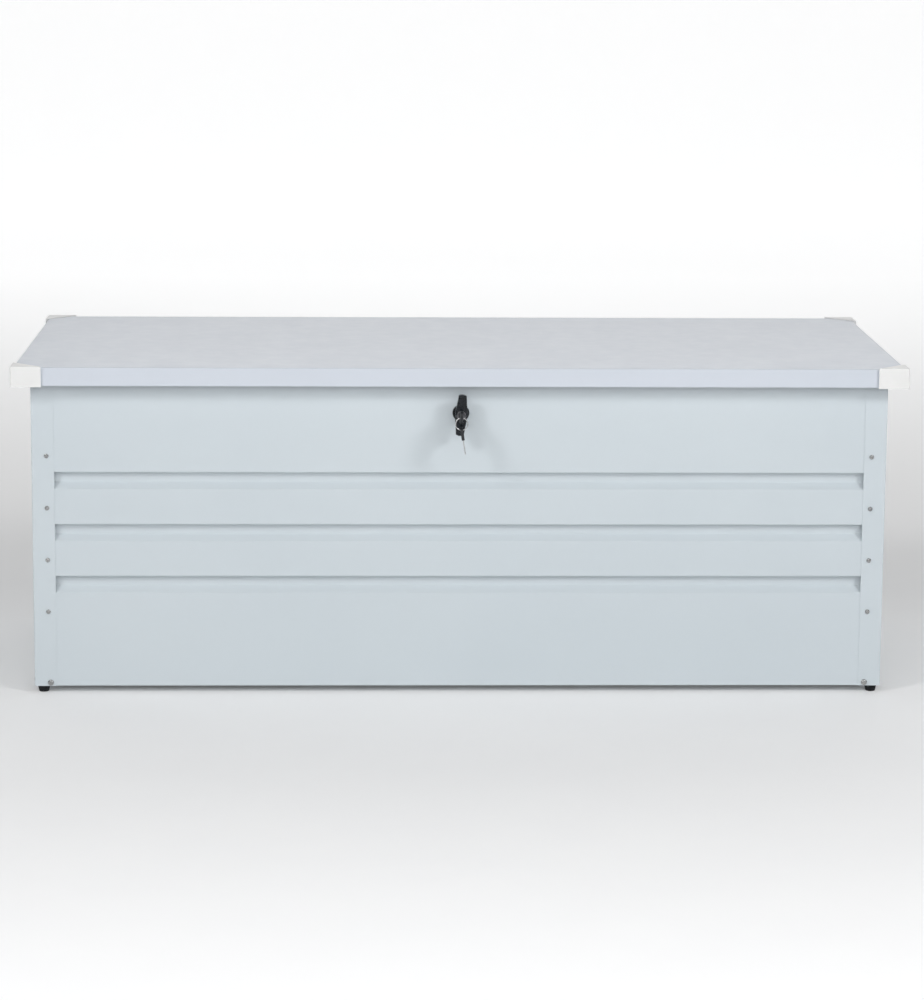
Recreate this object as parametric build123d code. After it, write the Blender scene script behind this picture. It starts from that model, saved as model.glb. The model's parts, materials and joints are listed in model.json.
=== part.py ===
"""Sheet-steel deck storage box: folded body, overlapping lid, gas springs and a keyed T-handle latch.

Frame: millimetres, origin on the floor under the centre of the lid, +X to the right seen from the
front, +Y to the back, +Z up.  Left and right are as seen from the front.
"""
from build123d import *
from math import asin, cos, radians, sin, sqrt
import os

# ---------------------------------------------------------------- driving dimensions
SHEET = 0.8             # thickness of every folded sheet
BEND = 1.6              # outer radius of a sheet fold

BODY_HALF_X = 791.0     # outer faces of the corner posts
BODY_HALF_Y = 318.0
BODY_BOTTOM = 13.0      # the feet lift the body by this much
BODY_TOP = 611.0
POST_LEG = 41.5         # width of each leg of a corner post

GROOVE_TOPS = (418.0, 320.0, 222.0)
GROOVE_HEIGHT = 31.0
GROOVE_DEPTH = 11.0
GROOVE_LEDGE = 12.0     # height of the sloping ledge at the foot of a groove
TOP_RETURN = 12.9       # inward fold along the top of a panel
TOP_HEM = 12.0          # downward lip at the end of that fold
BASE_RETURN_LONG = 32.0     # bottom fold of the front and back panels
BASE_RETURN_SHORT = 24.0    # bottom fold of the side panels
PANEL_HALF_LONG = 788.0     # half length of the front and back panels
PANEL_HALF_SHORT = 302.0    # half length of the side panels
SIDE_RETURN_HALF = 284.0    # half length of a side panel's bottom fold

LID_HALF_X = 820.0
LID_HALF_Y = 346.0
LID_TOP = 618.0
LID_RIM_BOTTOM = 584.0
LID_RETURN = 12.0       # inward fold at the bottom of the lid rim
CAP_PROUD_X = 5.0       # how far a corner cap stands outside the lid sheet
CAP_PROUD_Y = 4.0
CAP_PROUD_Z = 2.0
CAP_LEG = 57.0
RIB_STATIONS = (-390.0, 0.0, 390.0)

FLOOR_TOP = 26.8
FLOOR_SPLITS = (-261.5, 261.5)      # joints between the three floor pans
FLOOR_UNDERSIDE = BODY_BOTTOM + SHEET
FLOOR_HALF_X = BODY_HALF_X - 2 * SHEET - 1.4
FLOOR_HALF_Y = BODY_HALF_Y - 2 * SHEET - 1.4
PAN_JOINT_GAP = 0.4
FLOOR_NOTCH = 52.0      # clearance for the foot nuts in the corners of the outer pans
FLOOR_SCREW_STATIONS = (-240.0, 0.0, 240.0)
FLOOR_SCREW_OFFSET = 14.0
BEAD_STATIONS = (-190.0, -63.0, 63.0, 190.0)
BEAD_DEPTH = 1.6
BEAD_WIDTH = 14.0
BEAD_END = 65.0         # plain sheet left at each end of a bead

SCREW_INSET = 27.5      # screw row from the outer corner of the box
SCREW_LEVELS = (449.0, 351.0, 253.0, 155.0)
BASE_BOLT_INSET = 30.0
BASE_BOLT_LEVEL = 19.5

FOOT_INSET = 15.5
FOOT_TOP_R = 12.0
FOOT_BOTTOM_R = 9.0

HINGE_Y = 332.0         # lid pivot
HINGE_Z = 587.0
HINGE_STATIONS = {"left": -560.0, "centre": 0.0, "right": 560.0}
HINGE_HALF = 40.0       # half width of a hinge
LEAF = 1.6              # thickness of a hinge leaf
LEAF_HOLES = (-28.0, 0.0, 28.0)
BODY_LEAF_LOW = 546.0
BODY_LEAF_SCREW_Z = 560.0
LID_LEAF_TOP = 612.0
LID_RIVET_Z = 602.0
BACK_SHEET_Y = BODY_HALF_Y - SHEET      # outer face of the back panel
LID_SHEET_Y = LID_HALF_Y - SHEET        # inner face of the lid rim
KNUCKLE_HALF = 13.5     # half width of the middle knuckle
KNUCKLE_GAP = 0.4
KNUCKLE_R = 4.2
PIN_R = 2.5

SPRING_X = 755.0        # gas spring plane on each side
SPRING_ARM = 265.0      # lid pivot to each of the two spring studs
SPRING_ANGLE = 65.0     # angle between those two arms with the lid shut
SPRING_DROP = 10.0      # lid stud below the lid pivot
STUD_R = 4.0
SPRING_TUBE_R = 9.25
SPRING_BORE_R = 7.9
SPRING_ROD_R = 4.0
SPRING_TRAVEL = 214.0
EYE_HALF_WIDTH = 4.5
EYE_ROOM = 5.0          # from the spring plane to the shoulder of a stud
EYE_NECK = 18.0
GUIDE_LOW = 23.0        # rod guide, measured from the rod's eye
GUIDE_TOP = 35.0
TUBE_END = 4.0
BRACKET_PLATE = 2.0
LID_BRACKET_X = 771.0

LOCK_Z = 531.0
LOCK_LEAN = 4.0         # the T-handle leans this much to the right
FRONT_SHEET_Y = -BODY_HALF_Y + SHEET    # outer face of the front panel
ROSE_R = 15.5           # round base of the latch on the front panel
ROSE_DEPTH = 4.6
BARREL_R = 9.5
BARREL_LENGTH = 16.0
LATCH_NUT_HEIGHT = 5.0
SPINDLE_R = 7.0
SPINDLE_END = -298.5
HUB_R = 11.0
HANDLE_SPAN = 76.0
HANDLE_WAIST_HALF = 11.2    # half widths of the bar at the lock, along the arms and at the ends
HANDLE_NECK_HALF = 9.6
HANDLE_NECK_PLACE = 0.45
HANDLE_END_HALF = 7.4
HANDLE_END_RISE = 2.0
HANDLE_BACK = -338.0    # rear face of the handle bar
HANDLE_FRONT = -352.0
CYLINDER_R = 9.0
CYLINDER_BACK = -331.0
PLUG_R = 5.5
KEY_HEAD_END = -358.0   # where the inserted key's head ends and its blade begins
KEY_HOLE_Y = -376.5
RING_R = 11.2           # middle of the split ring's wire
RING_WIRE_R = 0.9
SPARE_TILT = 9.0
CAM_BACK = -296.0
CAM_REACH = 42.0
KEEPER_X = (20.0, 48.0)
KEEPER_Y = (-294.6, -292.8)
KEEPER_LOW = 515.0
KEEPER_PLATE = 1.8

SIDES = {"left": -1, "right": 1}
ENDS = {"front": -1, "back": 1}
LOCK_CENTRE = Pos(0, 0, LOCK_Z)
HANDLE_LEAN = LOCK_CENTRE * Rot(0, LOCK_LEAN, 0)

nodes = {}


# ---------------------------------------------------------------- shared shapes
def folded_sheet(points, length, side=Side.RIGHT):
    """Sheet folded along the points (depth, height) of its outer face, extruded both ways along X."""
    with BuildLine(Plane.YZ) as outline:
        FilletPolyline(*points, radius=BEND)
    band = offset(outline.wires()[0], amount=SHEET, side=side, closed=True)
    return extrude(make_face(band.edges()), amount=length / 2, both=True)


def rod_along_y(radius, y_start, y_end, x=0.0, z=0.0):
    """Cylinder along Y between two Y values."""
    middle = Pos(x, (y_start + y_end) / 2, z)
    return middle * Rot(90, 0, 0) * Cylinder(radius, abs(y_end - y_start))


def rod_along_x(radius, x_start, x_end, y=0.0, z=0.0):
    """Cylinder along X between two X values."""
    middle = Pos((x_start + x_end) / 2, y, z)
    return middle * Rot(0, 90, 0) * Cylinder(radius, abs(x_end - x_start))


def block(low, high):
    """Box between two corners."""
    size = [b - a for a, b in zip(low, high)]
    middle = [(a + b) / 2 for a, b in zip(low, high)]
    return Pos(*middle) * Box(*size)


def pan_head_screw(head_r, head_height, shank_r, shank_length):
    """Cross-recess screw along Z: head above z = 0, shank below."""
    head = Cylinder(head_r, head_height, align=(Align.CENTER, Align.CENTER, Align.MIN))
    top_edge = head.edges().group_by(Axis.Z)[-1]
    head = fillet(top_edge, head_height * 0.6)
    shank = Cylinder(shank_r, shank_length, align=(Align.CENTER, Align.CENTER, Align.MAX))
    slot = Box(head_r * 1.15, head_r * 0.24, head_height * 1.1)
    recess = slot + Rot(0, 0, 90) * slot
    return head + shank - Pos(0, 0, head_height) * recess


def hex_nut(flats, height, bore_r):
    """Hexagon nut along Z, standing on z = 0."""
    body = extrude(RegularPolygon(flats / 2, 6, major_radius=False), height)
    return body - Cylinder(bore_r, 3 * height)


def four_faces():
    """Turn of each box face from the front face, with its half distance and half length."""
    return (
        ("front", 0.0, BODY_HALF_Y, BODY_HALF_X),
        ("right", 90.0, BODY_HALF_X, BODY_HALF_Y),
        ("back", 180.0, BODY_HALF_Y, BODY_HALF_X),
        ("left", -90.0, BODY_HALF_X, BODY_HALF_Y),
    )


def on_every_post_face(shape, levels, inset, sink):
    """Copies of a Z-axis shape on both legs of all posts, sunk below the outer face by sink."""
    copies = []
    for _, turn, distance, half in four_faces():
        for hand in (-1, 1):
            for level in levels:
                spot = Rot(0, 0, turn) * Pos(hand * (half - inset), -distance + sink, level)
                copies.append(spot * Rot(90, 0, 0) * shape)
    return copies


def group(solids):
    """Separate solids kept side by side in one node."""
    return Compound(children=list(solids))


# ---------------------------------------------------------------- body
def panel(half_length, base_return):
    """Grooved wall panel, outer face on y = 0, inside towards +Y."""
    points = [(TOP_RETURN, BODY_TOP - TOP_HEM), (TOP_RETURN, BODY_TOP), (0, BODY_TOP)]
    for top in GROOVE_TOPS:
        foot = top - GROOVE_HEIGHT
        points += [(0, top), (GROOVE_DEPTH, top), (GROOVE_DEPTH, foot + GROOVE_LEDGE), (0, foot)]
    points += [(0, BODY_BOTTOM), (base_return, BODY_BOTTOM)]
    return folded_sheet(points, 2 * half_length)


def panel_fixing_holes(half_length, corner_half):
    """Screw and bolt clearance holes near both ends of a panel whose outer face is y = 0."""
    holes = []
    for hand in (-1, 1):
        for level in SCREW_LEVELS:
            holes.append(rod_along_y(2.7, -2, 4, hand * (corner_half - SCREW_INSET), level))
        holes.append(rod_along_y(3.2, -2, 4, hand * (corner_half - BASE_BOLT_INSET), BASE_BOLT_LEVEL))
    return holes


def make_panels():
    """Four wall panels, each set one sheet inside the post faces."""
    for name, turn, distance, corner_half in four_faces():
        is_long = name in ENDS
        half = PANEL_HALF_LONG if is_long else PANEL_HALF_SHORT
        base_return = BASE_RETURN_LONG if is_long else BASE_RETURN_SHORT
        wall = panel(half, base_return)
        wall -= panel_fixing_holes(half, corner_half)
        if is_long:
            foot_y = FOOT_INSET - SHEET
            for hand in (-1, 1):
                wall -= Pos(hand * (BODY_HALF_X - FOOT_INSET), foot_y, BODY_BOTTOM) * Cylinder(3.3, 6)
        else:
            for hand in (-1, 1):
                middle = hand * (SIDE_RETURN_HALF + 30)
                wall -= Pos(middle, 20, BODY_BOTTOM + 0.5) * Box(60, 36, 4)
        if name == "front":
            wall -= rod_along_y(9.8, -2, 4, 0, LOCK_Z)
        title = name + "_panel" if is_long else name + "_side_panel"
        nodes[title] = Rot(0, 0, turn) * Pos(0, -distance + SHEET, 0) * wall


def make_posts():
    """Folded corner angles that wrap the panel ends."""
    for end, sy in ENDS.items():
        for side, sx in SIDES.items():
            with BuildLine() as outline:
                FilletPolyline((POST_LEG, 0), (0, 0), (0, POST_LEG), radius=BEND)
            band = offset(outline.wires()[0], amount=SHEET, side=Side.RIGHT, closed=True)
            post = extrude(make_face(band.edges()), BODY_TOP - BODY_BOTTOM)
            for level in SCREW_LEVELS:
                post -= rod_along_y(2.7, -2, 4, SCREW_INSET, level - BODY_BOTTOM)
                post -= rod_along_x(2.7, -2, 4, SCREW_INSET, level - BODY_BOTTOM)
            low = BASE_BOLT_LEVEL - BODY_BOTTOM
            post -= rod_along_y(3.2, -2, 4, BASE_BOLT_INSET, low)
            post -= rod_along_x(3.2, -2, 4, BASE_BOLT_INSET, low)
            if sx > 0:
                post = mirror(post, Plane.YZ)
            if sy > 0:
                post = mirror(post, Plane.XZ)
            nodes[f"corner_post_{end}_{side}"] = Pos(sx * BODY_HALF_X, sy * BODY_HALF_Y, BODY_BOTTOM) * post


def make_fasteners():
    """Screws, bolts and nuts through the posts and panels."""
    screw = pan_head_screw(4.3, 2.4, 2.45, 9.0)
    nodes["post_screws"] = group(on_every_post_face(screw, SCREW_LEVELS, SCREW_INSET, 0))
    bolt = pan_head_screw(5.6, 3.2, 3.0, 10.0)
    nodes["base_bolts"] = group(on_every_post_face(bolt, (BASE_BOLT_LEVEL,), BASE_BOLT_INSET, 0))
    nut = Pos(0, 0, -4.0) * hex_nut(8.0, 4.0, 2.5)
    big_nut = Pos(0, 0, -4.5) * hex_nut(10.0, 4.5, 3.05)
    nuts = on_every_post_face(nut, SCREW_LEVELS, SCREW_INSET, 2 * SHEET)
    nuts += on_every_post_face(big_nut, (BASE_BOLT_LEVEL,), BASE_BOLT_INSET, 2 * SHEET)
    for _, x, y in foot_spots():
        nuts.append(Pos(x, y, BODY_BOTTOM + SHEET) * hex_nut(10.0, 4.5, 3.05))
    nodes["body_nuts"] = group(nuts)


def foot_spots():
    """Name and plan position of the four feet."""
    for end, sy in ENDS.items():
        for side, sx in SIDES.items():
            yield f"{end}_{side}", sx * (BODY_HALF_X - FOOT_INSET), sy * (BODY_HALF_Y - FOOT_INSET)


def make_feet():
    """Tapered rubber feet on moulded-in studs, each held by a nut above the panel's bottom fold."""
    for name, x, y in foot_spots():
        cone = Cone(FOOT_BOTTOM_R, FOOT_TOP_R, BODY_BOTTOM, align=(Align.CENTER, Align.CENTER, Align.MIN))
        cone = fillet(cone.edges().group_by(Axis.Z)[0], 1.4)
        stud = Cylinder(3.0, 8.5, align=(Align.CENTER, Align.CENTER, Align.MIN))
        nodes[f"foot_{name}"] = Pos(x, y, 0) * (cone + Pos(0, 0, BODY_BOTTOM) * stud)


def floor_screw_spots(x_low, x_high):
    """Plan positions of the screws along the joints at the ends of one stretch of floor."""
    for split in FLOOR_SPLITS:
        for hand, end in ((-1, x_high), (1, x_low)):
            if abs(end - split) > 2 * PAN_JOINT_GAP:
                continue
            for y in FLOOR_SCREW_STATIONS:
                yield split + hand * FLOOR_SCREW_OFFSET, y


def floor_bead(x_low, x_high, y, pan):
    """Pan with one long bead pressed down into it at this depth station."""
    half_length = (x_high - x_low) / 2 - BEAD_END
    bead = Pos((x_low + x_high) / 2, y, FLOOR_TOP - BEAD_DEPTH)
    wall = SHEET + 0.2
    pan += bead * Pos(0, 0, -SHEET / 2) * Box(2 * (half_length + wall), BEAD_WIDTH + 2 * wall, SHEET)
    pan += bead * Pos(0, 0, BEAD_DEPTH / 2) * Box(2 * (half_length + wall), BEAD_WIDTH + 2 * wall, BEAD_DEPTH)
    pan -= bead * Pos(0, 0, BEAD_DEPTH / 2) * Box(2 * half_length, BEAD_WIDTH, BEAD_DEPTH)
    return pan


def floor_pan(x_low, x_high, outer_side):
    """Pan with turned-down edges at front, back and on its outer side, if it has one."""
    pan = block((x_low, -FLOOR_HALF_Y, FLOOR_UNDERSIDE), (x_high, FLOOR_HALF_Y, FLOOR_TOP))
    open_low = x_low + SHEET if outer_side < 0 else x_low - 1
    open_high = x_high - SHEET if outer_side > 0 else x_high + 1
    edge_y = FLOOR_HALF_Y - SHEET
    pan -= block((open_low, -edge_y, 0), (open_high, edge_y, FLOOR_TOP - SHEET))
    if outer_side:
        notch = Box(FLOOR_NOTCH, FLOOR_NOTCH, FLOOR_TOP, align=(Align.CENTER, Align.CENTER, Align.MAX))
        inset = FLOOR_NOTCH / 2 - 4
        for sy in (-1, 1):
            corner = (outer_side * (FLOOR_HALF_X - inset), sy * (FLOOR_HALF_Y - inset), FLOOR_TOP - SHEET)
            pan -= Pos(*corner) * notch
    for y in BEAD_STATIONS:
        pan = floor_bead(x_low, x_high, y, pan)
    for x, y in floor_screw_spots(x_low, x_high):
        pan -= Pos(x, y, FLOOR_TOP) * Cylinder(2.2, 6)
    return pan


def floor_rail():
    """Hat section along Y that carries a joint between two pans, drawn along X."""
    foot_z = FLOOR_UNDERSIDE + SHEET
    hat_top = FLOOR_TOP - SHEET
    half_hat = [(20, hat_top), (22, foot_z), (35, foot_z)]
    hat = [(-y, z) for y, z in reversed(half_hat)] + half_hat
    rail = folded_sheet(hat, 2 * (FLOOR_HALF_Y - 2 * SHEET), Side.LEFT)
    for near in (-FLOOR_SCREW_OFFSET, FLOOR_SCREW_OFFSET):
        for y in FLOOR_SCREW_STATIONS:
            rail -= Pos(y, near, hat_top) * Cylinder(2.1, 6)
    return rail


def make_floor():
    """Three floor pans with turned-down edges, and hat rails under their two joints."""
    starts = (-FLOOR_HALF_X, *[split + PAN_JOINT_GAP for split in FLOOR_SPLITS])
    ends = (*[split - PAN_JOINT_GAP for split in FLOOR_SPLITS], FLOOR_HALF_X)
    screw = pan_head_screw(4.0, 2.0, 2.0, 7.0)
    screws = []
    for name, outer_side, x_low, x_high in zip(("left", "centre", "right"), (-1, 0, 1), starts, ends):
        nodes[f"floor_pan_{name}"] = floor_pan(x_low, x_high, outer_side)
        for x, y in floor_screw_spots(x_low, x_high):
            screws.append(Pos(x, y, FLOOR_TOP) * screw)
    for split, name in zip(FLOOR_SPLITS, SIDES):
        nodes[f"floor_rail_{name}"] = Pos(split, 0, 0) * Rot(0, 0, 90) * floor_rail()
    nodes["floor_screws"] = group(screws)


def make_bumpers():
    """Rubber pads on the front and back panel tops, which the lid lands on."""
    height = LID_TOP - SHEET - BODY_TOP - 0.3
    pad = Cylinder(5.5, height, align=(Align.CENTER, Align.CENTER, Align.MIN))
    pad = fillet(pad.edges().group_by(Axis.Z)[-1], 1.2)
    pads = []
    for sx in (-1, 1):
        for sy in (-1, 1):
            pads.append(Pos(sx * 700, sy * (BODY_HALF_Y - SHEET - TOP_RETURN / 2), BODY_TOP) * pad)
    nodes["lid_bumpers"] = group(pads)


# ---------------------------------------------------------------- lid
def make_lid_skin():
    """Shallow tray with a turned-in lower edge, notched at the back for the hinge knuckles."""
    height = LID_TOP - LID_RIM_BOTTOM
    skin = Pos(0, 0, LID_TOP - height / 2) * Box(2 * LID_HALF_X, 2 * LID_HALF_Y, height)
    skin = fillet(skin.edges().group_by(Axis.Z)[-1] + skin.edges().filter_by(Axis.Z), 2.4)
    inner_top = LID_TOP - SHEET
    inner_low = LID_RIM_BOTTOM + SHEET
    hollow = Pos(0, 0, (inner_top + inner_low) / 2)
    hollow *= Box(2 * (LID_HALF_X - SHEET), 2 * (LID_HALF_Y - SHEET), inner_top - inner_low)
    hollow = fillet(hollow.edges().group_by(Axis.Z)[-1] + hollow.edges().filter_by(Axis.Z), 1.6)
    mouth = Pos(0, 0, LID_RIM_BOTTOM)
    mouth *= Box(2 * (LID_HALF_X - LID_RETURN), 2 * (LID_HALF_Y - LID_RETURN), 10)
    skin = skin - hollow - mouth
    for x in HINGE_STATIONS.values():
        skin -= block(
            (x - HINGE_HALF - 3, HINGE_Y - 4, LID_RIM_BOTTOM - 1),
            (x + HINGE_HALF + 3, LID_SHEET_Y, LID_RIM_BOTTOM + 2),
        )
        for hole in LEAF_HOLES:
            skin -= rod_along_y(2.1, LID_HALF_Y - 3, LID_HALF_Y + 2, x + hole, LID_RIVET_Z)
    nodes["lid_skin"] = skin


def make_ribs():
    """Hat sections glued under the lid to keep its top flat."""
    under = LID_TOP - SHEET
    hat = [(-36, under), (-22, under), (-17, 598), (17, 598), (22, under), (36, under)]
    for x, name in zip(RIB_STATIONS, ("left", "centre", "right")):
        section = [(y, z - SHEET if z == under else z) for y, z in hat]
        rib = Rot(0, 0, 90) * folded_sheet(section, 540, Side.RIGHT)
        nodes[f"lid_rib_{name}"] = Pos(x, 20, 0) * rib


def make_caps():
    """Moulded corner caps: a triangle on top, two outer walls and a lip under the rim."""
    low = LID_RIM_BOTTOM - CAP_PROUD_Z
    for end, sy in ENDS.items():
        for side, sx in SIDES.items():
            with BuildSketch() as plan:
                Polygon((0, 0), (CAP_LEG, 0), (0, CAP_LEG), align=None)
            cap = extrude(plan.sketch, LID_TOP + CAP_PROUD_Z - low)
            corner = cap.edges().filter_by(Axis.Z).sort_by_distance((0, 0, 19))[0]
            cap = fillet(corner, 3.5)
            cap = fillet(cap.edges().group_by(Axis.Z)[-1], 1.0)
            tray = Pos(CAP_PROUD_X, CAP_PROUD_Y, CAP_PROUD_Z)
            tray *= Box(100, 100, LID_TOP - LID_RIM_BOTTOM, align=Align.MIN)
            lip = Pos(CAP_PROUD_X + LID_RETURN + 2, CAP_PROUD_Y + LID_RETURN + 2, -1)
            lip *= Box(100, 100, 10, align=Align.MIN)
            cap = cap - tray - lip
            if sx > 0:
                cap = mirror(cap, Plane.YZ)
            if sy > 0:
                cap = mirror(cap, Plane.XZ)
            place = Pos(sx * (LID_HALF_X + CAP_PROUD_X), sy * (LID_HALF_Y + CAP_PROUD_Y), low)
            nodes[f"corner_cap_{end}_{side}"] = place * cap


def body_hinge_leaf():
    """Leaf on the outside of the back panel, with a shelf out to the two outer knuckles."""
    shelf_low = HINGE_Z - KNUCKLE_R
    face_y = BACK_SHEET_Y + LEAF
    reach = KNUCKLE_HALF + KNUCKLE_GAP
    leaf = block((-HINGE_HALF, BACK_SHEET_Y, BODY_LEAF_LOW), (HINGE_HALF, face_y, shelf_low + LEAF))
    leaf += block((-HINGE_HALF, BACK_SHEET_Y, shelf_low), (HINGE_HALF, HINGE_Y, shelf_low + LEAF))
    leaf -= block((-reach, HINGE_Y - KNUCKLE_R - 2, shelf_low - 12), (reach, LID_HALF_Y, HINGE_Z + 13))
    for hand in (-1, 1):
        leaf += rod_along_x(KNUCKLE_R, hand * reach, hand * HINGE_HALF, HINGE_Y, HINGE_Z)
    leaf -= rod_along_x(PIN_R + 0.03, -HINGE_HALF - 1, HINGE_HALF + 1, HINGE_Y, HINGE_Z)
    for x in LEAF_HOLES:
        leaf -= rod_along_y(2.1, BACK_SHEET_Y - 1, face_y + 1, x, BODY_LEAF_SCREW_Z)
    return leaf


def lid_hinge_leaf():
    """Leaf on the inside of the lid rim, with the middle knuckle."""
    shelf_top = HINGE_Z + KNUCKLE_R
    face_y = LID_SHEET_Y - LEAF
    leaf = block((-HINGE_HALF, face_y, shelf_top - LEAF), (HINGE_HALF, LID_SHEET_Y, LID_LEAF_TOP))
    leaf += block((-KNUCKLE_HALF, HINGE_Y, shelf_top - LEAF), (KNUCKLE_HALF, LID_SHEET_Y, shelf_top))
    leaf += rod_along_x(KNUCKLE_R, -KNUCKLE_HALF, KNUCKLE_HALF, HINGE_Y, HINGE_Z)
    leaf -= rod_along_x(PIN_R + 0.06, -HINGE_HALF - 1, HINGE_HALF + 1, HINGE_Y, HINGE_Z)
    for x in LEAF_HOLES:
        leaf -= rod_along_y(2.1, face_y - 2, LID_SHEET_Y + 1, x, LID_RIVET_Z)
    return leaf


def hinge_pin():
    """Pin through the three knuckles, with a flat head pressed on at each end."""
    pin = rod_along_x(PIN_R, -HINGE_HALF, HINGE_HALF, HINGE_Y, HINGE_Z)
    for hand in (-1, 1):
        pin += rod_along_x(3.4, hand * HINGE_HALF, hand * (HINGE_HALF + 1.2), HINGE_Y, HINGE_Z)
    return pin


def dome_rivet():
    """Rivet along Z: domed head above z = 0, shank below."""
    head = Cylinder(3.6, 1.2, align=(Align.CENTER, Align.CENTER, Align.MIN))
    head = fillet(head.edges().group_by(Axis.Z)[-1], 0.9)
    return head + Cylinder(1.95, 4.4, align=(Align.CENTER, Align.CENTER, Align.MAX))


def make_hinges():
    """Three offset butt hinges: body leaf outside the back panel, lid leaf inside the lid rim."""
    outward = Rot(-90, 0, 0)
    screw = pan_head_screw(3.6, 2.0, 1.95, 6.0)
    rivet = dome_rivet()
    pins = []
    body_screws = []
    lid_rivets = []
    for name, x in HINGE_STATIONS.items():
        station = Pos(x, 0, 0)
        nodes[f"hinge_body_leaf_{name}"] = station * body_hinge_leaf()
        nodes[f"hinge_lid_leaf_{name}"] = station * lid_hinge_leaf()
        pins.append(station * hinge_pin())
        for hole in LEAF_HOLES:
            hole_x = x + hole
            screw_hole = rod_along_y(2.1, BACK_SHEET_Y - 2, BACK_SHEET_Y + 1, hole_x, BODY_LEAF_SCREW_Z)
            nodes["back_panel"] -= screw_hole
            body_screws.append(Pos(hole_x, BACK_SHEET_Y + LEAF, BODY_LEAF_SCREW_Z) * outward * screw)
            lid_rivets.append(Pos(hole_x, LID_HALF_Y, LID_RIVET_Z) * outward * rivet)
    nodes["hinge_pins"] = group(pins)
    nodes["hinge_body_screws"] = group(body_screws)
    nodes["hinge_lid_rivets"] = group(lid_rivets)


# ---------------------------------------------------------------- gas springs
def spring_studs():
    """Lid stud and body stud (y, z), both at the same distance from the lid pivot."""
    lid_angle = asin(SPRING_DROP / SPRING_ARM)
    body_angle = lid_angle + radians(SPRING_ANGLE)
    lid_stud = (HINGE_Y - SPRING_ARM * cos(lid_angle), HINGE_Z - SPRING_ARM * sin(lid_angle))
    body_stud = (HINGE_Y - SPRING_ARM * cos(body_angle), HINGE_Z - SPRING_ARM * sin(body_angle))
    return lid_stud, body_stud


def standing_rod(radius, z_low, z_high):
    """Cylinder along Z between two heights."""
    return Pos(0, 0, (z_low + z_high) / 2) * Cylinder(radius, z_high - z_low)


def spring_eye():
    """Eye with its hole along X at the origin, with a neck rising along Z."""
    eye = rod_along_x(7.5, -EYE_HALF_WIDTH, EYE_HALF_WIDTH)
    eye = fillet(eye.edges(), 0.8)
    return eye + standing_rod(4.6, 0, EYE_NECK) - rod_along_x(STUD_R + 0.06, -6, 6)


def spring_rod(piston_low, piston_top):
    """Polished rod with its eye at the origin and the piston on its far end."""
    rod = standing_rod(SPRING_ROD_R, EYE_NECK, piston_top)
    piston = standing_rod(SPRING_BORE_R - 0.3, piston_low, piston_top)
    return rod + piston + spring_eye()


def spring_cylinder(length, tube_top):
    """Closed tube around the piston, with a guide for the rod and its own eye at the far end."""
    tube = standing_rod(SPRING_TUBE_R, GUIDE_LOW, tube_top)
    rims = tube.edges().group_by(Axis.Z)
    tube = fillet(rims[0] + rims[-1], 1.5)
    tube -= standing_rod(SPRING_BORE_R, GUIDE_TOP, tube_top - TUBE_END)
    tube -= standing_rod(SPRING_ROD_R + 0.1, GUIDE_LOW - 20, GUIDE_LOW + 20)
    return tube + Pos(0, 0, length) * Rot(180, 0, 0) * spring_eye()


def spring_stud(spacer_start, reach):
    """Stud along X: spacer up to the eye, pin through it and a retaining head."""
    stud = rod_along_x(7, spacer_start, reach - EYE_ROOM)
    stud += rod_along_x(STUD_R, 0, reach + EYE_ROOM)
    return stud + rod_along_x(6, reach + EYE_ROOM, reach + EYE_ROOM + 2)


def body_bracket():
    """Plate on the inside of a side wall at x = 0, with its stud towards +X."""
    base = block((0, -28, -15), (BRACKET_PLATE, 28, 15))
    base = fillet(base.edges().filter_by(Axis.X), 6)
    return base + spring_stud(BRACKET_PLATE, BODY_HALF_X - 2 * SHEET - SPRING_X)


def lid_bracket(drop):
    """Angle hung under the lid, with its stud towards +X at the origin."""
    hanger = block((0, -20, -12), (BRACKET_PLATE, 20, drop))
    hanger += block((0, -20, drop - BRACKET_PLATE), (26, 20, drop))
    hanger = fillet(hanger.edges().filter_by(Axis.X).group_by(Axis.Z)[0], 6)
    return hanger + spring_stud(BRACKET_PLATE, LID_BRACKET_X - SPRING_X)


def make_gas_springs():
    """Rod end on the body stud, cylinder end on the lid stud, drawn along the line between them."""
    lid_stud, body_stud = spring_studs()
    span_y = lid_stud[0] - body_stud[0]
    span_z = lid_stud[1] - body_stud[1]
    length = sqrt(span_y**2 + span_z**2)
    strut_axis = Plane(
        origin=(0, body_stud[0], body_stud[1]),
        x_dir=(1, 0, 0),
        z_dir=(0, span_y / length, span_z / length),
    )
    tube_top = length - EYE_NECK
    piston_top = tube_top - 6.0
    piston_low = piston_top - 8.0
    assert piston_low - GUIDE_TOP >= SPRING_TRAVEL
    rod = spring_rod(piston_low, piston_top)
    cylinder = spring_cylinder(length, tube_top)
    on_body = body_bracket()
    on_lid = lid_bracket(LID_TOP - SHEET - lid_stud[1])
    for side, sx in SIDES.items():
        plane = Pos(sx * SPRING_X, 0, 0) * strut_axis.location
        nodes[f"gas_spring_rod_{side}"] = plane * rod
        nodes[f"gas_spring_cylinder_{side}"] = plane * cylinder
        foot = mirror(on_body, Plane.YZ) if sx > 0 else on_body
        hanger = mirror(on_lid, Plane.YZ) if sx > 0 else on_lid
        wall = sx * (BODY_HALF_X - 2 * SHEET)
        nodes[f"gas_spring_body_bracket_{side}"] = Pos(wall, *body_stud) * foot
        nodes[f"gas_spring_lid_bracket_{side}"] = Pos(sx * LID_BRACKET_X, *lid_stud) * hanger


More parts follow.
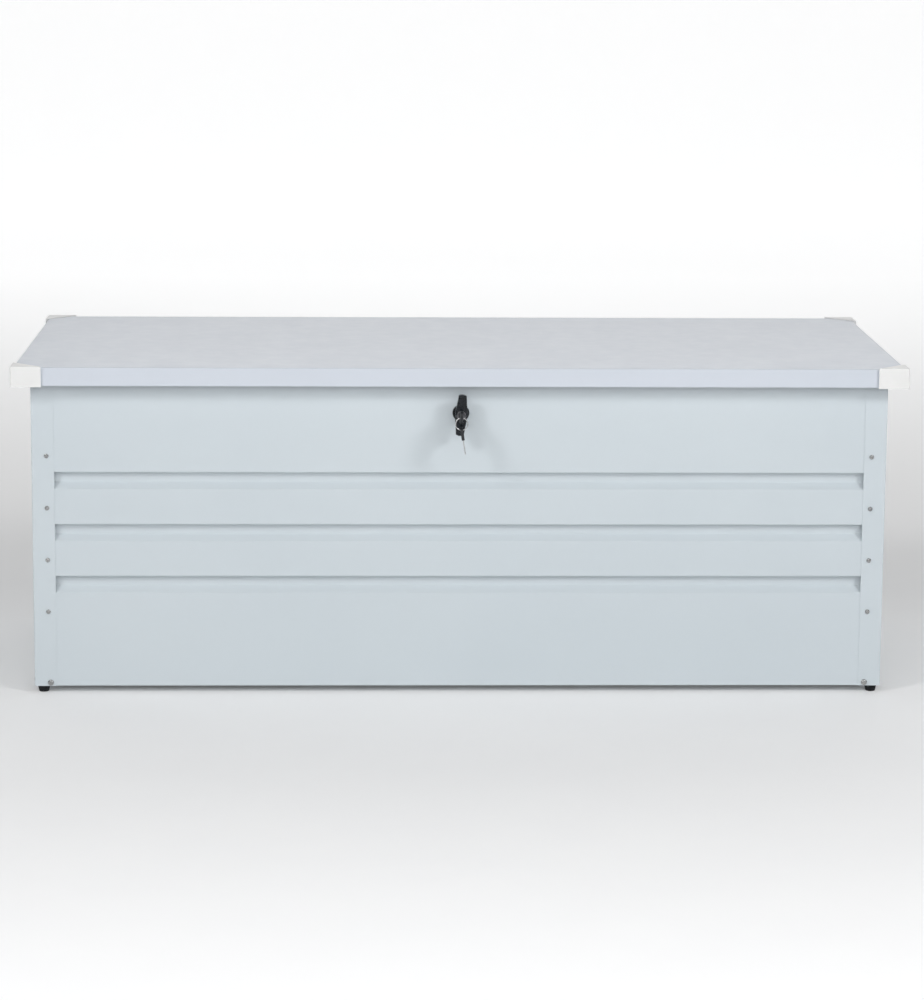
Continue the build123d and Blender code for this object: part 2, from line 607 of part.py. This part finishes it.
# ---------------------------------------------------------------- latch
def make_latch_base():
    """Round rose on the front panel with a barrel through it, and the nut behind the panel."""
    base = rod_along_y(ROSE_R, FRONT_SHEET_Y, FRONT_SHEET_Y - ROSE_DEPTH)
    base = fillet(base.edges().group_by(Axis.Y)[0], 1.6)
    base += rod_along_y(BARREL_R, FRONT_SHEET_Y, FRONT_SHEET_Y + BARREL_LENGTH)
    base -= rod_along_y(SPINDLE_R + 0.08, FRONT_SHEET_Y - 6, FRONT_SHEET_Y + 20)
    nodes["latch_base"] = LOCK_CENTRE * base
    nut = Rot(90, 0, 0) * hex_nut(25.0, LATCH_NUT_HEIGHT, BARREL_R + 0.05)
    nodes["latch_nut"] = Pos(0, FRONT_SHEET_Y + SHEET + LATCH_NUT_HEIGHT, LOCK_Z) * nut


def handle_outline():
    """Bar seen from the front: widest at the lock, waisted arms and softly rounded ends."""
    half = HANDLE_SPAN / 2
    shoulder = half - HANDLE_END_RISE
    neck = half * HANDLE_NECK_PLACE
    right = (
        (HANDLE_END_HALF, shoulder),
        (HANDLE_NECK_HALF, neck),
        (HANDLE_WAIST_HALF, 0),
        (HANDLE_NECK_HALF, -neck),
        (HANDLE_END_HALF, -shoulder),
    )
    left = [(-x, z) for x, z in reversed(right)]
    with BuildSketch(Plane.XZ.offset(-HANDLE_BACK)) as bar:
        with BuildLine():
            Spline(*right)
            ThreePointArc(right[-1], (0, -half), left[0])
            Spline(*left)
            ThreePointArc(left[-1], (0, half), right[0])
        make_face()
    return bar.sketch


def make_handle():
    """T-handle with a hub, a spindle through the barrel and a bore for the lock."""
    grip = extrude(handle_outline(), HANDLE_BACK - HANDLE_FRONT)
    grip = fillet(grip.edges().group_by(Axis.Y)[0], 2.5)
    grip = fillet(grip.edges().group_by(Axis.Y)[-1], 1.5)
    grip += rod_along_y(HUB_R, HANDLE_BACK - 2, FRONT_SHEET_Y - ROSE_DEPTH - 0.3)
    grip += rod_along_y(SPINDLE_R, FRONT_SHEET_Y - 10, SPINDLE_END)
    grip -= rod_along_y(CYLINDER_R, CYLINDER_BACK, HANDLE_FRONT - 3)
    grip -= rod_along_y(2.0, SPINDLE_END - 11.5, SPINDLE_END + 1.5)
    nodes["t_handle"] = HANDLE_LEAN * grip


def make_lock():
    """Lock cylinder pressed into the handle, and the slotted plug that the key turns."""
    barrel = rod_along_y(CYLINDER_R, CYLINDER_BACK, HANDLE_FRONT - 1.2)
    barrel = fillet(barrel.edges().group_by(Axis.Y)[0], 0.8)
    barrel -= rod_along_y(PLUG_R + 0.06, CYLINDER_BACK - 2, HANDLE_FRONT - 3)
    nodes["lock_cylinder"] = HANDLE_LEAN * barrel
    plug = rod_along_y(PLUG_R, CYLINDER_BACK - 2.3, HANDLE_FRONT - 1.6)
    plug -= block((-1.15, HANDLE_FRONT - 3, -4.1), (1.15, CYLINDER_BACK - 3.5, 4.1))
    nodes["lock_plug"] = HANDLE_LEAN * plug


def make_cam():
    """Flat cam on the end of the spindle, and the screw that holds it."""
    cam = block((-8, SPINDLE_END, 0), (8, CAM_BACK, CAM_REACH))
    cam = fillet(cam.edges().filter_by(Axis.Y).group_by(Axis.Z)[-1], 5)
    cam += rod_along_y(10, SPINDLE_END, CAM_BACK)
    cam -= rod_along_y(2.6, SPINDLE_END - 1.5, CAM_BACK + 6)
    nodes["latch_cam"] = LOCK_CENTRE * cam
    cam_screw = pan_head_screw(5.0, 2.4, 1.95, 10.0)
    nodes["cam_screw"] = Pos(0, CAM_BACK, LOCK_Z) * Rot(-90, 0, 0) * cam_screw


def make_keeper():
    """Strap under the lid, beside the lock, whose bottom tab the turned cam passes over."""
    under = LID_TOP - SHEET
    strap_front, strap_back = KEEPER_Y
    tab_front = strap_front - 4.0
    x_low, x_high = KEEPER_X
    keeper = block((x_low, strap_front, KEEPER_LOW), (x_high, strap_back, under))
    keeper += block((x_low, tab_front, KEEPER_LOW), (x_high, strap_back, KEEPER_LOW + KEEPER_PLATE))
    keeper += block((x_low, strap_front, under - KEEPER_PLATE), (x_high, -266, under))
    nodes["lid_keeper"] = keeper


def key_head():
    """Moulded head with rounded corners and an eyelet, its front end at y = 0, pointing to +Y."""
    head = block((-2.75, -24, -11.5), (2.75, 0, 11.5))
    head = fillet(head.edges().filter_by(Axis.X), 6.5)
    head = fillet(head.edges().filter_by(Plane.YZ), 1.0)
    head -= rod_along_x(2.7, -4, 4, KEY_HOLE_Y - KEY_HEAD_END)
    return head - block((-1, -8, -4), (1, 1, 4))


def key_blade(length):
    """Key blade along +Y: shank moulded into the head, bitted along one edge, tip chamfered."""
    blade = block((-1, -8, -4), (1, length, 4))
    tip = blade.edges().filter_by(Axis.X).group_by(Axis.Y)[-1]
    blade = chamfer(tip, 1.8)
    for start, depth in ((6.0, 1.2), (10.0, 2.0), (14.0, 0.9)):
        blade -= block((-2, start, 4 - depth), (2, start + 2.4, 5))
    return blade


def make_keys():
    """Key in the lock, split ring through its eyelet and a spare key hanging from the ring."""
    inserted = HANDLE_LEAN * Pos(0, KEY_HEAD_END, 0)
    nodes["key_head"] = inserted * key_head()
    nodes["key_blade"] = inserted * key_blade(21)
    ring_centre = Pos(0, KEY_HOLE_Y, LOCK_Z - RING_R)
    nodes["split_ring"] = ring_centre * Rot(90, 0, 0) * Torus(RING_R, RING_WIRE_R)
    pivot = Pos(0, KEY_HOLE_Y, LOCK_Z - 2 * RING_R)
    hanging = pivot * Rot(0, -SPARE_TILT, 0) * Rot(-90, 0, 0) * Pos(0, KEY_HEAD_END - KEY_HOLE_Y, 0)
    nodes["spare_key_head"] = hanging * key_head()
    nodes["spare_key_blade"] = hanging * key_blade(27)


def main():
    """Build every node and write one STEP file for each."""
    make_panels()
    make_posts()
    make_fasteners()
    make_feet()
    make_floor()
    make_bumpers()
    make_lid_skin()
    make_ribs()
    make_caps()
    make_hinges()
    make_gas_springs()
    make_latch_base()
    make_handle()
    make_lock()
    make_cam()
    make_keeper()
    make_keys()
    os.makedirs("parts", exist_ok=True)
    for name, shape in nodes.items():
        export_step(shape, f"parts/{name}.step")
    print(len(nodes), "nodes; spring studs (y, z):", spring_studs())


main()
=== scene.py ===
"""Looks of a sheet-steel deck storage box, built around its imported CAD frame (metres)."""
import json
from math import cos, pi, sin

import bmesh
import bpy
from mathutils import Matrix, Vector


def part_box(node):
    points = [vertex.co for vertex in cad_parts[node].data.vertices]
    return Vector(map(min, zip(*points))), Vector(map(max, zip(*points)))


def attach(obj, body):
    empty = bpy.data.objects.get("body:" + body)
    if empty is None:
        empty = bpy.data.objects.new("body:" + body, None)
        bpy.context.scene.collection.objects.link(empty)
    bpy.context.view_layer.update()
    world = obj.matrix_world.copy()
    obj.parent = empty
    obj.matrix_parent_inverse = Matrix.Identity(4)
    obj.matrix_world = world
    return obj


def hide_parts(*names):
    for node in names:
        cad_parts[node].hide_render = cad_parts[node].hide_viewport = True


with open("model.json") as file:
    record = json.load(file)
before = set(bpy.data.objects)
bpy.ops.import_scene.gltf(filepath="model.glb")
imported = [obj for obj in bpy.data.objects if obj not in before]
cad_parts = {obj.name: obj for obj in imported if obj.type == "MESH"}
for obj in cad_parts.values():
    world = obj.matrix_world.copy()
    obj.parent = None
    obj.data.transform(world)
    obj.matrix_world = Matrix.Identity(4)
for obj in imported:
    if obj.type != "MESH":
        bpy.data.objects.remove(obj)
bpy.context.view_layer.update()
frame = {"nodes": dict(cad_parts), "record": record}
nodes = frame["nodes"]
slot_of = {part["node"]: part["material_slot"] for part in frame["record"]["subparts"]}

# ---------------------------------------------------------------- camera, at a standing eye's height
CAMERA_PLACE = Vector((-0.1697, -5.9399, 1.4781))
CAMERA_YAW = -0.0296
CAMERA_PITCH = 0.1627
CAMERA_ROLL = 0.0068
CAMERA_LENS = 111.3
CAMERA_SHIFT = (0.0028, -0.1)
CAMERA_SENSOR = 36.0
CAMERA_REACH = 60.0

# ---------------------------------------------------------------- colours, each with a second tone
PAINT = (0.585, 0.640, 0.672)
PAINT_DEEP = (0.555, 0.612, 0.648)
# lid paint: the body's coat tinted bluer, a painted tint for the light falling on the lid top; the real
# lid wears the same coat as the body
LID_COAT_PAINTED_LIGHT_TINT = (0.600, 0.640, 0.702)
LID_COAT_PAINTED_LIGHT_TINT_DEEP = (0.575, 0.616, 0.678)
CAP_WHITE = (0.80, 0.80, 0.795)
CAP_WHITE_DEEP = (0.76, 0.76, 0.75)
FOOT_BLACK = (0.008, 0.009, 0.011)
FOOT_DUST = (0.022, 0.024, 0.027)
BUMPER_GREY = (0.05, 0.052, 0.055)
BUMPER_DUST = (0.10, 0.10, 0.105)
SPANGLE_LIGHT = (0.62, 0.64, 0.66)
SPANGLE_DEEP = (0.46, 0.49, 0.52)
ZINC = (0.46, 0.46, 0.45)
ZINC_DEEP = (0.33, 0.34, 0.35)
HINGE_ZINC = (0.66, 0.67, 0.68)
HINGE_ZINC_DEEP = (0.50, 0.51, 0.53)
SPRING_BLACK = (0.010, 0.010, 0.011)
SPRING_BLACK_WORN = (0.018, 0.018, 0.020)
ROD_CHROME = (0.80, 0.80, 0.82)
ROD_CHROME_DEEP = (0.74, 0.74, 0.76)
LATCH_BLACK = (0.006, 0.008, 0.011)
LATCH_BLACK_WORN = (0.013, 0.016, 0.020)
LOCK_CHROME = (0.20, 0.20, 0.21)
LOCK_CHROME_DEEP = (0.13, 0.13, 0.14)
KEY_BLACK = (0.008, 0.009, 0.011)
KEY_BLACK_WORN = (0.016, 0.018, 0.021)
KEY_NICKEL = (0.60, 0.60, 0.60)
KEY_NICKEL_DEEP = (0.46, 0.46, 0.47)
FLOOR_WHITE = (0.86, 0.86, 0.86)
FLOOR_WHITE_DEEP = (0.85, 0.85, 0.852)

# ---------------------------------------------------------------- studio
STAGE_HALF_WIDTH = 14.0
STAGE_FRONT = -9.0
STAGE_BACK = 9.0
STAGE_BEND = 3.0        # radius where the floor turns up into the backdrop
STAGE_HEIGHT = 12.0
STAGE_STEPS = 24
FLOOR_GLOW = 0.07       # emission of the floor in front, and of the backdrop far behind
BACKDROP_GLOW = 0.62
GLOW_START = 0.6        # where the glow begins to rise, along Y
GLOW_END = STAGE_BACK - 2.0
ROOM_COLOUR = (0.96, 0.98, 1.0, 1)
ROOM_STRENGTH = 0.15
LIGHT_TARGET = (0, 0, 0.35)
LIGHTS = (              # name, place, width and depth, watts
    ("front_box", (-0.1, -3.1, 1.5), (3.4, 1.2), 34),
    ("left_box", (-3.5, -3.3, 3.6), (1.2, 1.2), 88),
    ("right_box", (3.6, -3.3, 3.0), (1.2, 1.2), 94),
    ("top_box", (0, 1.5, 4.0), (4.0, 2.5), 2),
    ("back_box", (0.5, 5.0, 2.8), (4.0, 2.0), 20),
)

# ---------------------------------------------------------------- split ring
WIRE_STEPS = 16         # points round the split ring's wire
RING_START = 0.6        # where round the ring its first end lies
RING_TURNS = 2
RING_STEPS = 160 * RING_TURNS
RING_CROSSING = 12      # how sharply the wire steps from one turn to the next
RING_TURN_GAP = 0.96    # share of its room that a turn's height takes
WIRE_TIP = 0.45         # size of the ground-down wire at its very end
WIRE_TIP_STEPS = 14     # steps over which it grows to full size


def new_material(name):
    """Empty node material and its Principled shader."""
    material = bpy.data.materials.new(name)
    material.use_nodes = True
    tree = material.node_tree
    shader = tree.nodes["Principled BSDF"]
    return material, tree, shader


def object_coordinates(tree, stretch=(1, 1, 1)):
    """Coordinates in metres that travel with the piece, optionally stretched."""
    source = tree.nodes.new("ShaderNodeTexCoord")
    mapping = tree.nodes.new("ShaderNodeMapping")
    mapping.inputs["Scale"].default_value = stretch
    tree.links.new(source.outputs["Object"], mapping.inputs["Vector"])
    return mapping.outputs["Vector"]


def noise(tree, vector, scale, detail=3.0, roughness=0.55):
    """Noise factor over the given coordinates."""
    node = tree.nodes.new("ShaderNodeTexNoise")
    node.inputs["Scale"].default_value = scale
    node.inputs["Detail"].default_value = detail
    node.inputs["Roughness"].default_value = roughness
    tree.links.new(vector, node.inputs["Vector"])
    return node.outputs["Fac"]


def remap(tree, value, low, high, from_low=0.3, from_high=0.7):
    """Value stretched from one range to another."""
    node = tree.nodes.new("ShaderNodeMapRange")
    node.inputs["From Min"].default_value = from_low
    node.inputs["From Max"].default_value = from_high
    node.inputs["To Min"].default_value = low
    node.inputs["To Max"].default_value = high
    tree.links.new(value, node.inputs["Value"])
    return node.outputs["Result"]


def blend_colours(tree, factor, first, second):
    """Colour mixed between two by a factor socket."""
    node = tree.nodes.new("ShaderNodeMix")
    node.data_type = "RGBA"
    ends = {"A": (*first, 1), "B": (*second, 1)}
    for socket in node.inputs:
        if socket.type == "RGBA":
            socket.default_value = ends[socket.name]
    tree.links.new(factor, node.inputs["Factor"])
    return next(socket for socket in node.outputs if socket.type == "RGBA")


def bump(tree, shader, heights):
    """Chain of bumps, each a height socket with its depth in metres and strength."""
    previous = None
    for height, depth, strength in heights:
        node = tree.nodes.new("ShaderNodeBump")
        node.inputs["Distance"].default_value = depth
        node.inputs["Strength"].default_value = strength
        tree.links.new(height, node.inputs["Height"])
        if previous is not None:
            tree.links.new(previous, node.inputs["Normal"])
        previous = node.outputs["Normal"]
    tree.links.new(previous, shader.inputs["Normal"])


def powder_coat(name, light, deep):
    """Satin polyester powder coat: orange peel, fine speckle and a faint drift in tone."""
    material, tree, shader = new_material(name)
    place = object_coordinates(tree)
    drift = remap(tree, noise(tree, place, 2.3, 2.0), 0.0, 0.7)
    speckle = remap(tree, noise(tree, place, 2600.0, 2.0), 0.0, 0.3)
    total = tree.nodes.new("ShaderNodeMath")
    total.operation = "ADD"
    tree.links.new(drift, total.inputs[0])
    tree.links.new(speckle, total.inputs[1])
    tree.links.new(blend_colours(tree, total.outputs[0], light, deep), shader.inputs["Base Color"])
    tree.links.new(remap(tree, noise(tree, place, 35.0, 4.0), 0.34, 0.46), shader.inputs["Roughness"])
    peel = noise(tree, place, 520.0, 2.0, 0.4)
    grain = noise(tree, place, 2100.0, 2.0, 0.5)
    wave = noise(tree, object_coordinates(tree, (1.0, 3.0, 3.0)), 3.2, 1.0, 0.3)
    bump(tree, shader, [(wave, 0.0016, 0.10), (peel, 0.00010, 0.5), (grain, 0.00003, 0.5)])
    shader.inputs["Coat Weight"].default_value = 0.12
    shader.inputs["Coat Roughness"].default_value = 0.25
    return material


def moulded_plastic(name, light, deep, roughness, grain_depth, grain_scale):
    """Injection-moulded plastic with a fine spark-eroded grain."""
    material, tree, shader = new_material(name)
    place = object_coordinates(tree)
    tone = remap(tree, noise(tree, place, 14.0, 3.0), 0.0, 1.0)
    tree.links.new(blend_colours(tree, tone, light, deep), shader.inputs["Base Color"])
    low, high = roughness
    tree.links.new(remap(tree, noise(tree, place, 60.0, 4.0), low, high), shader.inputs["Roughness"])
    grain = noise(tree, place, grain_scale, 3.0)
    flow = noise(tree, place, 22.0, 1.0)
    bump(tree, shader, [(flow, 0.0010, 0.08), (grain, grain_depth, 0.5)])
    return material


def rubber(name, dark, dusty):
    """Matt rubber with a little dust in its pores."""
    material, tree, shader = new_material(name)
    place = object_coordinates(tree)
    dust = remap(tree, noise(tree, place, 160.0, 5.0, 0.7), 0.0, 1.0, 0.5, 0.75)
    tree.links.new(blend_colours(tree, dust, dark, dusty), shader.inputs["Base Color"])
    tree.links.new(remap(tree, noise(tree, place, 90.0), 0.55, 0.75), shader.inputs["Roughness"])
    bump(tree, shader, [(noise(tree, place, 900.0, 3.0), 0.00012, 0.6)])
    shader.inputs["Specular IOR Level"].default_value = 0.25
    return material


def plated_steel(name, light, deep, roughness, brush=(1, 1, 1), scale=400.0, depth=0.00003):
    """Zinc or nickel plate over drawn steel, with fine directional marks."""
    material, tree, shader = new_material(name)
    place = object_coordinates(tree)
    lines = noise(tree, object_coordinates(tree, brush), scale, 4.0, 0.65)
    tone = remap(tree, noise(tree, place, 55.0, 4.0), 0.0, 1.0)
    tree.links.new(blend_colours(tree, tone, light, deep), shader.inputs["Base Color"])
    low, high = roughness
    tree.links.new(remap(tree, lines, low, high), shader.inputs["Roughness"])
    bump(tree, shader, [(lines, depth, 0.6)])
    shader.inputs["Metallic"].default_value = 1.0
    return material


def galvanised(name, light, deep):
    """Hot-dip galvanised sheet with frost-like spangle."""
    material, tree, shader = new_material(name)
    place = object_coordinates(tree)
    cells = tree.nodes.new("ShaderNodeTexVoronoi")
    cells.inputs["Scale"].default_value = 95.0
    cells.inputs["Randomness"].default_value = 1.0
    tree.links.new(place, cells.inputs["Vector"])
    tint = tree.nodes.new("ShaderNodeSeparateColor")
    tree.links.new(cells.outputs["Color"], tint.inputs["Color"])
    tree.links.new(blend_colours(tree, tint.outputs["Red"], light, deep), shader.inputs["Base Color"])
    tree.links.new(remap(tree, tint.outputs["Green"], 0.34, 0.56, 0.0, 1.0), shader.inputs["Roughness"])
    frost = noise(tree, place, 800.0)
    bump(tree, shader, [(cells.outputs["Distance"], 0.00004, 0.4), (frost, 0.00003, 0.5)])
    shader.inputs["Metallic"].default_value = 0.9
    return material


def gloss_black(name, dark, worn):
    """Black enamel on a die casting, with faint flow marks."""
    material, tree, shader = new_material(name)
    place = object_coordinates(tree)
    tone = remap(tree, noise(tree, place, 120.0, 4.0), 0.0, 1.0, 0.45, 0.75)
    tree.links.new(blend_colours(tree, tone, dark, worn), shader.inputs["Base Color"])
    tree.links.new(remap(tree, noise(tree, place, 240.0, 4.0), 0.20, 0.36), shader.inputs["Roughness"])
    flow = noise(tree, place, 150.0, 2.0)
    grain = noise(tree, place, 1800.0)
    bump(tree, shader, [(flow, 0.0002, 0.18), (grain, 0.00002, 0.5)])
    shader.inputs["Specular IOR Level"].default_value = 0.3
    shader.inputs["Coat Weight"].default_value = 0.12
    shader.inputs["Coat Roughness"].default_value = 0.12
    return material


materials = {
    "body_paint": powder_coat("body_powder_coat", PAINT, PAINT_DEEP),
    # the lid's coat is a copy of the body's, tinted bluer as painted light for the lid top
    "lid_paint": powder_coat("lid_powder_coat_painted_light_tint", LID_COAT_PAINTED_LIGHT_TINT, LID_COAT_PAINTED_LIGHT_TINT_DEEP),
    "cap_plastic": moulded_plastic(
        "cap_white_plastic", CAP_WHITE, CAP_WHITE_DEEP,
        roughness=(0.36, 0.48), grain_depth=0.00002, grain_scale=1500.0,
    ),
    "foot_rubber": rubber("foot_black_rubber", FOOT_BLACK, FOOT_DUST),
    "bumper_rubber": rubber("bumper_grey_rubber", BUMPER_GREY, BUMPER_DUST),
    "floor_galvanised": galvanised("floor_spangle", SPANGLE_LIGHT, SPANGLE_DEEP),
    "zinc_hardware": plated_steel("zinc_plate", ZINC, ZINC_DEEP, roughness=(0.16, 0.34)),
    "hinge_steel": plated_steel(
        "hinge_zinc", HINGE_ZINC, HINGE_ZINC_DEEP, roughness=(0.28, 0.48), brush=(0.2, 3, 3),
    ),
    "spring_black": gloss_black("spring_enamel", SPRING_BLACK, SPRING_BLACK_WORN),
    "spring_rod_chrome": plated_steel(
        "rod_chrome", ROD_CHROME, ROD_CHROME_DEEP, roughness=(0.06, 0.14), scale=900.0,
    ),
    "latch_black": gloss_black("latch_enamel", LATCH_BLACK, LATCH_BLACK_WORN),
    "lock_chrome": plated_steel(
        "lock_face_chrome", LOCK_CHROME, LOCK_CHROME_DEEP, roughness=(0.12, 0.24), scale=700.0,
    ),
    "key_plastic": moulded_plastic(
        "key_black_plastic", KEY_BLACK, KEY_BLACK_WORN,
        roughness=(0.3, 0.45), grain_depth=0.00004, grain_scale=2200.0,
    ),
    "key_steel": plated_steel(
        "key_nickel", KEY_NICKEL, KEY_NICKEL_DEEP,
        roughness=(0.2, 0.36), brush=(3, 3, 0.3), scale=800.0,
    ),
}


def dress_frame():
    """Give every CAD piece the material of its slot."""
    for name, piece in nodes.items():
        material = materials[slot_of[name]]
        for index in range(len(piece.material_slots)):
            piece.material_slots[index].material = material
        if not piece.material_slots:
            piece.data.materials.append(material)


def sweep_section(name, centres, outward_of, half_width, half_height, taper):
    """Closed tube of oval section along turns stacked in Y, thinned at each point by taper."""
    mesh_maker = bmesh.new()
    rings = []
    for index, centre in enumerate(centres):
        outward = outward_of(index)
        size = taper(index)
        ring = []
        for step in range(WIRE_STEPS):
            angle = 2 * pi * step / WIRE_STEPS
            across = outward * (cos(angle) * half_width * size)
            along = Vector((0, 1, 0)) * (sin(angle) * half_height * size)
            ring.append(mesh_maker.verts.new(centre + across + along))
        rings.append(ring)
    for first, second in zip(rings, rings[1:]):
        for step in range(WIRE_STEPS):
            following = (step + 1) % WIRE_STEPS
            mesh_maker.faces.new((first[step], first[following], second[following], second[step]))
    mesh_maker.faces.new(list(reversed(rings[0])))
    mesh_maker.faces.new(rings[-1])
    bmesh.ops.recalc_face_normals(mesh_maker, faces=mesh_maker.faces)
    mesh = bpy.data.meshes.new(name)
    mesh_maker.to_mesh(mesh)
    mesh_maker.free()
    mesh.shade_smooth()
    piece = bpy.data.objects.new(name, mesh)
    bpy.context.collection.objects.link(piece)
    return piece


def make_split_ring():
    """Key ring as two stacked turns of oval wire with ground-down ends."""
    low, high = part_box("split_ring")
    low, high = Vector(low), Vector(high)
    centre = (low + high) / 2
    depth = high.y - low.y
    half_height = depth / 4
    half_width = depth / 2
    radius = (high.x - low.x) / 2 - half_width

    def outward_of(index):
        angle = RING_START + 2 * pi * RING_TURNS * index / RING_STEPS
        return Vector((cos(angle), 0, sin(angle)))

    def taper(index):
        end_distance = min(index, RING_STEPS - index)
        return min(1.0, WIRE_TIP + end_distance / WIRE_TIP_STEPS)

    centres = []
    for step in range(RING_STEPS + 1):
        past_middle = (step / RING_STEPS - 0.5) * RING_CROSSING
        rise = max(-1.0, min(1.0, past_middle)) * half_height
        centres.append(centre + radius * outward_of(step) + Vector((0, rise, 0)))
    wire_height = half_height * RING_TURN_GAP
    ring = sweep_section("key_split_ring", centres, outward_of, half_width, wire_height, taper)
    ring.data.materials.append(materials["key_steel"])
    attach(ring, "key_ring")
    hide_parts("split_ring")


def make_stage():
    """Pale floor that curves up into a backdrop, far behind the box."""
    bend_start = STAGE_BACK - STAGE_BEND
    profile = [(STAGE_FRONT, 0.0), (bend_start, 0.0)]
    for step in range(1, STAGE_STEPS + 1):
        angle = pi / 2 * step / STAGE_STEPS
        profile.append((bend_start + STAGE_BEND * sin(angle), STAGE_BEND - STAGE_BEND * cos(angle)))
    profile.append((STAGE_BACK, STAGE_HEIGHT))
    points = []
    for y, z in profile:
        points.append((-STAGE_HALF_WIDTH, y, z))
        points.append((STAGE_HALF_WIDTH, y, z))
    faces = []
    for index in range(len(profile) - 1):
        first = 2 * index
        faces.append((first, first + 1, first + 3, first + 2))
    mesh = bpy.data.meshes.new("studio_floor")
    mesh.from_pydata(points, [], faces)
    mesh.shade_smooth()
    material, tree, shader = new_material("studio_paper")
    place = object_coordinates(tree)
    tone = remap(tree, noise(tree, place, 5.0, 3.0), 0.0, 1.0)
    colour = blend_colours(tree, tone, FLOOR_WHITE, FLOOR_WHITE_DEEP)
    tree.links.new(colour, shader.inputs["Base Color"])
    shader.inputs["Roughness"].default_value = 0.9
    split = tree.nodes.new("ShaderNodeSeparateXYZ")
    tree.links.new(place, split.inputs["Vector"])
    glow = remap(tree, split.outputs["Y"], FLOOR_GLOW, BACKDROP_GLOW, GLOW_START, GLOW_END)
    tree.links.new(glow, shader.inputs["Emission Strength"])
    shader.inputs["Emission Color"].default_value = (1, 1, 1, 1)
    mesh.materials.append(material)
    floor = bpy.data.objects.new("studio_floor", mesh)
    bpy.context.collection.objects.link(floor)


def add_area_light(name, place, size, watts):
    """Soft rectangular light aimed at the box."""
    data = bpy.data.lights.new(name, "AREA")
    data.shape = "RECTANGLE"
    data.size, data.size_y = size
    data.energy = watts
    lamp = bpy.data.objects.new(name, data)
    bpy.context.collection.objects.link(lamp)
    lamp.visible_camera = False
    lamp.location = place
    aim = Vector(LIGHT_TARGET) - Vector(place)
    lamp.rotation_euler = aim.to_track_quat("-Z", "Y").to_euler()


def make_lights():
    """Weak room light, a high soft box at each side of the front, a low fill, and two behind."""
    world = bpy.data.worlds.new("studio_world")
    world.use_nodes = True
    background = world.node_tree.nodes["Background"]
    background.inputs["Color"].default_value = ROOM_COLOUR
    background.inputs["Strength"].default_value = ROOM_STRENGTH
    bpy.context.scene.world = world
    for name, place, size, watts in LIGHTS:
        add_area_light(name, place, size, watts)


def make_camera():
    """Camera in front of the box, a little to its left and above it."""
    data = bpy.data.cameras.new("photo_camera")
    data.lens = CAMERA_LENS
    data.sensor_width = CAMERA_SENSOR
    data.shift_x, data.shift_y = CAMERA_SHIFT
    data.clip_end = CAMERA_REACH
    camera = bpy.data.objects.new("photo_camera", data)
    bpy.context.collection.objects.link(camera)
    level = Vector((-sin(CAMERA_YAW), cos(CAMERA_YAW), 0))
    forward = level * cos(CAMERA_PITCH) - Vector((0, 0, sin(CAMERA_PITCH)))
    right = forward.cross(Vector((0, 0, 1))).normalized()
    up = right.cross(forward)
    rolled_right = cos(CAMERA_ROLL) * right + sin(CAMERA_ROLL) * up
    rolled_up = cos(CAMERA_ROLL) * up - sin(CAMERA_ROLL) * right
    turn = Matrix((rolled_right, rolled_up, -forward)).transposed().to_4x4()
    camera.matrix_world = Matrix.Translation(CAMERA_PLACE) @ turn
    bpy.context.scene.camera = camera


make_camera()
make_lights()
make_stage()
dress_frame()
make_split_ring()
bpy.context.scene.view_settings.view_transform = "Standard"
